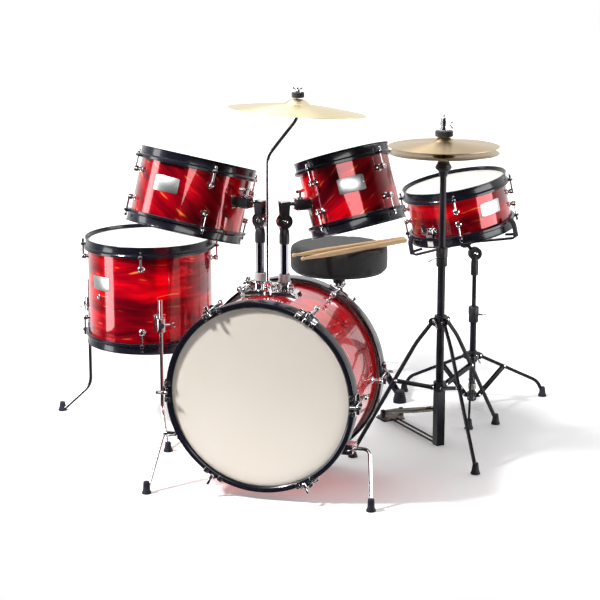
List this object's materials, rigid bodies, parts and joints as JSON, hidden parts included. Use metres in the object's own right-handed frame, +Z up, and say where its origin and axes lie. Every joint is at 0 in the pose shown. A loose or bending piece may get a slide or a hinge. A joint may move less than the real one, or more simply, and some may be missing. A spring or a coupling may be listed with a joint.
{
  "type": "acoustic drum kit",
  "caption": "Junior acoustic drum kit: bass drum with mounted toms and crash, floor tom, snare on stand, hi-hat with pedal, throne, bass pedal and sticks.",
  "frame": {"origin": "centre of the kit's footprint, on the floor", "axes": "+X to the right as the audience sees the kit (from the floor tom to the hi-hat), +Y from the audience towards the player, +Z up"},
  "size_m": [1.1896, 1.265, 0.899],
  "materials": {
    "red_wrap": "gloss",
    "black_hoop": "gloss",
    "chrome": "polished",
    "black_steel": "satin",
    "drumhead": "satin",
    "cymbal_bronze": "satin",
    "seat_vinyl": "satin",
    "stick_wood": "satin",
    "pedal_plate": "satin"
  },
  "bodies": {
    "bass_drum": {"bass_drum_shell": "red_wrap", "bass_front_hoop": "black_hoop", "bass_rear_hoop": "black_hoop", "bass_front_head": "drumhead", "bass_batter_head": "drumhead", "tom_holder": "chrome", "bass_pedal_frame": "black_steel"},
    "left_spur": {"left_spur": "chrome"},
    "right_spur": {"right_spur": "chrome"},
    "crash_rod": {"crash_rod": "chrome"},
    "crash_cymbal": {"crash_cymbal": "cymbal_bronze"},
    "left_tom_post": {"left_tom_post": "black_steel"},
    "left_tom_arm": {"left_tom_arm": "chrome"},
    "left_tom": {"left_tom_shell": "red_wrap", "left_tom_batter_hoop": "black_hoop", "left_tom_bottom_hoop": "black_hoop"},
    "right_tom_post": {"right_tom_post": "black_steel"},
    "right_tom_arm": {"right_tom_arm": "chrome"},
    "right_tom": {"right_tom_shell": "red_wrap", "right_tom_batter_hoop": "black_hoop", "right_tom_bottom_hoop": "black_hoop"},
    "floor_tom": {"floor_tom_shell": "red_wrap", "floor_tom_batter_hoop": "black_hoop", "floor_tom_bottom_hoop": "black_hoop"},
    "floor_tom_leg_1": {"floor_tom_leg_1": "chrome"},
    "floor_tom_leg_2": {"floor_tom_leg_2": "chrome"},
    "floor_tom_leg_3": {"floor_tom_leg_3": "chrome"},
    "hihat_stand": {"hihat_stand": "black_steel", "hihat_bottom_cymbal": "cymbal_bronze"},
    "hihat_tripod_collar": {"hihat_tripod_collar": "black_steel"},
    "hihat_leg_1": {"hihat_leg_1": "black_steel"},
    "hihat_brace_1": {"hihat_brace_1": "black_steel"},
    "hihat_leg_2": {"hihat_leg_2": "black_steel"},
    "hihat_brace_2": {"hihat_brace_2": "black_steel"},
    "hihat_leg_3": {"hihat_leg_3": "black_steel"},
    "hihat_brace_3": {"hihat_brace_3": "black_steel"},
    "hihat_footboard": {"hihat_footboard": "pedal_plate"},
    "hihat_pull_rod": {"hihat_pull_rod": "chrome"},
    "hihat_top_cymbal": {"hihat_top_cymbal": "cymbal_bronze"},
    "snare_stand": {"snare_stand_tube": "black_steel"},
    "snare_tripod_collar": {"snare_tripod_collar": "black_steel"},
    "snare_leg_1": {"snare_leg_1": "black_steel"},
    "snare_brace_1": {"snare_brace_1": "black_steel"},
    "snare_leg_2": {"snare_leg_2": "black_steel"},
    "snare_brace_2": {"snare_brace_2": "black_steel"},
    "snare_leg_3": {"snare_leg_3": "black_steel"},
    "snare_brace_3": {"snare_brace_3": "black_steel"},
    "snare_stand_rod": {"snare_stand_rod": "black_steel"},
    "snare_basket": {"snare_basket": "black_steel"},
    "snare_drum": {"snare_drum_shell": "red_wrap", "snare_drum_batter_hoop": "black_hoop", "snare_drum_bottom_hoop": "black_hoop"},
    "snare_throw_off_lever": {"snare_throw_off_lever": "chrome"},
    "throne_base": {"throne_base": "black_steel"},
    "throne_post": {"throne_post": "black_steel"},
    "throne_seat": {"throne_seat": "seat_vinyl"},
    "drumsticks": {"drumstick_1": "stick_wood", "drumstick_2": "stick_wood"},
    "bass_pedal_footboard": {"bass_pedal_footboard": "pedal_plate"},
    "bass_pedal_beater": {"bass_pedal_beater": "black_steel"}
  },
  "joints": [
    {"name": "left_spur_fold", "type": "hinge", "parent": "bass_drum", "child": "left_spur", "pos_m": [-0.0979, -0.54911, 0.122], "axis": [1, 0, 0], "range_deg": [0, 100]},
    {"name": "right_spur_fold", "type": "hinge", "parent": "bass_drum", "child": "right_spur", "pos_m": [0.3021, -0.54911, 0.122], "axis": [1, 0, 0], "range_deg": [0, 100]},
    {"name": "crash_rod_swivel", "type": "hinge", "parent": "bass_drum", "child": "crash_rod", "pos_m": [0.0891, -0.48111, 0.463], "axis": [0, 0, 1], "range_deg": [-90, 90]},
    {"name": "crash_cymbal_rock", "type": "hinge", "parent": "crash_rod", "child": "crash_cymbal", "pos_m": [0.1581, -0.48111, 0.871], "axis": [1, 0, 0], "range_deg": [-8, 8]},
    {"name": "left_tom_post_swivel", "type": "hinge", "parent": "bass_drum", "child": "left_tom_post", "pos_m": [0.0631, -0.45211, 0.598], "axis": [0, 0, 1], "range_deg": [-20, 40]},
    {"name": "left_tom_tilt", "type": "hinge", "parent": "left_tom_post", "child": "left_tom_arm", "pos_m": [0.0631, -0.45211, 0.598], "axis": [0.3496, 0.9369, 0], "range_deg": [-4, 12]},
    {"name": "left_tom_slide", "type": "slide", "parent": "left_tom_arm", "child": "left_tom", "axis": [-0.9369, 0.3496, 0], "range_m": [0, 0.02]},
    {"name": "right_tom_post_swivel", "type": "hinge", "parent": "bass_drum", "child": "right_tom_post", "pos_m": [0.1191, -0.45211, 0.598], "axis": [0, 0, 1], "range_deg": [-40, 20]},
    {"name": "right_tom_tilt", "type": "hinge", "parent": "right_tom_post", "child": "right_tom_arm", "pos_m": [0.1191, -0.45211, 0.598], "axis": [0.6173, -0.7867, 0], "range_deg": [-4, 12]},
    {"name": "right_tom_slide", "type": "slide", "parent": "right_tom_arm", "child": "right_tom", "axis": [0.7867, 0.6173, 0], "range_m": [0, 0.015]},
    {"name": "floor_tom_lift", "type": "slide", "parent": "bass_drum", "child": "floor_tom", "axis": [0, 0, 1], "range_m": [0, 0.06]},
    {"name": "floor_tom_leg_1_slide", "type": "slide", "parent": "floor_tom", "child": "floor_tom_leg_1", "axis": [0, 0, -1], "range_m": [0, 0.05]},
    {"name": "floor_tom_leg_2_slide", "type": "slide", "parent": "floor_tom", "child": "floor_tom_leg_2", "axis": [0, 0, -1], "range_m": [0, 0.05]},
    {"name": "floor_tom_leg_3_slide", "type": "slide", "parent": "floor_tom", "child": "floor_tom_leg_3", "axis": [0, 0, -1], "range_m": [0, 0.05]},
    {"name": "hihat_lift", "type": "slide", "parent": "bass_drum", "child": "hihat_stand", "axis": [0, 0, 1], "range_m": [0, 0.05]},
    {"name": "hihat_tripod_fold", "type": "slide", "parent": "hihat_stand", "child": "hihat_tripod_collar", "axis": [0, 0, 1], "range_m": [0, 0.10425]},
    {"name": "hihat_leg_1_hinge", "type": "hinge", "parent": "hihat_tripod_collar", "child": "hihat_leg_1", "pos_m": [0.41508, -0.11756, 0.308], "axis": [0.8387, 0.5446, 0], "range_deg": [0, 28.4]},
    {"name": "hihat_brace_1_hinge", "type": "hinge", "parent": "hihat_stand", "child": "hihat_brace_1", "pos_m": [0.41508, -0.11756, 0.147], "axis": [0.8387, 0.5446, 0], "range_deg": [-60.5, 0]},
    {"name": "hihat_leg_2_hinge", "type": "hinge", "parent": "hihat_tripod_collar", "child": "hihat_leg_2", "pos_m": [0.41309, -0.07951, 0.308], "axis": [-0.891, 0.454, 0], "range_deg": [0, 28.4]},
    {"name": "hihat_brace_2_hinge", "type": "hinge", "parent": "hihat_stand", "child": "hihat_brace_2", "pos_m": [0.41309, -0.07951, 0.147], "axis": [-0.891, 0.454, 0], "range_deg": [-60.5, 0]},
    {"name": "hihat_leg_3_hinge", "type": "hinge", "parent": "hihat_tripod_collar", "child": "hihat_leg_3", "pos_m": [0.38625, -0.11325, 0.308], "axis": [0.6428, -0.766, 0], "range_deg": [0, 28.4]},
    {"name": "hihat_brace_3_hinge", "type": "hinge", "parent": "hihat_stand", "child": "hihat_brace_3", "pos_m": [0.38625, -0.11325, 0.147], "axis": [0.6428, -0.766, 0], "range_deg": [-60.5, 0]},
    {"name": "hihat_pedal", "type": "hinge", "parent": "hihat_stand", "child": "hihat_footboard", "pos_m": [0.24847, 0.07384, 0.022], "axis": [0.7455, 0.6665, 0], "range_deg": [0, 3.9], "stiffness_Nm_per_rad": 25, "springref_deg": -8.59},
    {"name": "hihat_pull", "type": "slide", "parent": "hihat_stand", "child": "hihat_pull_rod", "axis": [0, 0, 1], "range_m": [-0.0126, 0]},
    {"name": "hihat_top_cymbal_spin", "type": "hinge", "parent": "hihat_pull_rod", "child": "hihat_top_cymbal", "pos_m": [0.4031, -0.09911, 0.74], "axis": [0, 0, 1], "continuous": true},
    {"name": "snare_stand_lift", "type": "slide", "parent": "bass_drum", "child": "snare_stand", "axis": [0, 0, 1], "range_m": [0, 0.05]},
    {"name": "snare_tripod_fold", "type": "slide", "parent": "snare_stand", "child": "snare_tripod_collar", "axis": [0, 0, 1], "range_m": [0, 0.06997]},
    {"name": "snare_leg_1_hinge", "type": "hinge", "parent": "snare_tripod_collar", "child": "snare_leg_1", "pos_m": [0.42206, 0.23611, 0.131], "axis": [0.989, 0.1478, 0], "range_deg": [0, 48.6]},
    {"name": "snare_brace_1_hinge", "type": "hinge", "parent": "snare_stand", "child": "snare_brace_1", "pos_m": [0.42206, 0.23611, 0.025], "axis": [0.989, 0.1478, 0], "range_deg": [-34, 0]},
    {"name": "snare_leg_2_hinge", "type": "hinge", "parent": "snare_tripod_collar", "child": "snare_leg_2", "pos_m": [0.43475, 0.26834, 0.131], "axis": [-0.6225, 0.7826, 0], "range_deg": [0, 48.6]},
    {"name": "snare_brace_2_hinge", "type": "hinge", "parent": "snare_stand", "child": "snare_brace_2", "pos_m": [0.43475, 0.26834, 0.025], "axis": [-0.6225, 0.7826, 0], "range_deg": [-34, 0]},
    {"name": "snare_leg_3_hinge", "type": "hinge", "parent": "snare_tripod_collar", "child": "snare_leg_3", "pos_m": [0.40049, 0.26322, 0.131], "axis": [-0.3665, -0.9304, 0], "range_deg": [0, 48.6]},
    {"name": "snare_brace_3_hinge", "type": "hinge", "parent": "snare_stand", "child": "snare_brace_3", "pos_m": [0.40049, 0.26322, 0.025], "axis": [-0.3665, -0.9304, 0], "range_deg": [-34, 0]},
    {"name": "snare_height", "type": "slide", "parent": "snare_stand", "child": "snare_stand_rod", "axis": [0, 0, 1], "range_m": [0, 0.08]},
    {"name": "snare_basket_tilt", "type": "hinge", "parent": "snare_stand_rod", "child": "snare_basket", "pos_m": [0.4191, 0.25589, 0.402], "axis": [0.4112, -0.9116, 0], "range_deg": [-10, 10]},
    {"name": "snare_drum_lift", "type": "slide", "parent": "snare_basket", "child": "snare_drum", "axis": [-0.1839, -0.083, 0.9794], "range_m": [0, 0.05]},
    {"name": "snare_throw_off", "type": "hinge", "parent": "snare_drum", "child": "snare_throw_off_lever", "pos_m": [0.31178, 0.14503, 0.4686], "axis": [0.8715, -0.4746, 0.1234], "range_deg": [0, 75]},
    {"name": "throne_lift", "type": "slide", "parent": "bass_drum", "child": "throne_base", "axis": [0, 0, 1], "range_m": [0, 0.03]},
    {"name": "throne_height", "type": "slide", "parent": "throne_base", "child": "throne_post", "axis": [0, 0, 1], "range_m": [0, 0.04]},
    {"name": "throne_seat_spin", "type": "hinge", "parent": "throne_post", "child": "throne_seat", "pos_m": [0.0321, 0.37089, 0.305], "axis": [0, 0, 1], "continuous": true},
    {"name": "drumsticks_lift", "type": "slide", "parent": "throne_seat", "child": "drumsticks", "axis": [0, 0, 1], "range_m": [0, 0.03]},
    {"name": "bass_pedal", "type": "hinge", "parent": "bass_drum", "child": "bass_pedal_footboard", "pos_m": [0.1021, 0.00089, 0.022], "axis": [1, 0, 0], "range_deg": [0, 10], "stiffness_Nm_per_rad": 8, "springref_deg": -14.32},
    {"name": "bass_pedal_beater_swing", "type": "hinge", "parent": "bass_drum", "child": "bass_pedal_beater", "pos_m": [0.1021, -0.27211, 0.108], "axis": [1, 0, 0], "range_deg": [0, 45.1]}
  ],
  "couplings": [
    {"joint": "hihat_leg_1_hinge", "follows": "hihat_tripod_fold", "rad_per_m": 4.7304},
    {"joint": "hihat_brace_1_hinge", "follows": "hihat_tripod_fold", "rad_per_m": -10.105},
    {"joint": "hihat_leg_2_hinge", "follows": "hihat_tripod_fold", "rad_per_m": 4.7304},
    {"joint": "hihat_brace_2_hinge", "follows": "hihat_tripod_fold", "rad_per_m": -10.105},
    {"joint": "hihat_leg_3_hinge", "follows": "hihat_tripod_fold", "rad_per_m": 4.7304},
    {"joint": "hihat_brace_3_hinge", "follows": "hihat_tripod_fold", "rad_per_m": -10.105},
    {"joint": "hihat_pull", "follows": "hihat_pedal", "m_per_rad": -0.18},
    {"joint": "snare_leg_1_hinge", "follows": "snare_tripod_fold", "rad_per_m": 12.074},
    {"joint": "snare_brace_1_hinge", "follows": "snare_tripod_fold", "rad_per_m": -8.4328},
    {"joint": "snare_leg_2_hinge", "follows": "snare_tripod_fold", "rad_per_m": 12.074},
    {"joint": "snare_brace_2_hinge", "follows": "snare_tripod_fold", "rad_per_m": -8.4328},
    {"joint": "snare_leg_3_hinge", "follows": "snare_tripod_fold", "rad_per_m": 12.074},
    {"joint": "snare_brace_3_hinge", "follows": "snare_tripod_fold", "rad_per_m": -8.4328},
    {"joint": "bass_pedal_beater_swing", "follows": "bass_pedal", "ratio": 4.5}
  ]
}
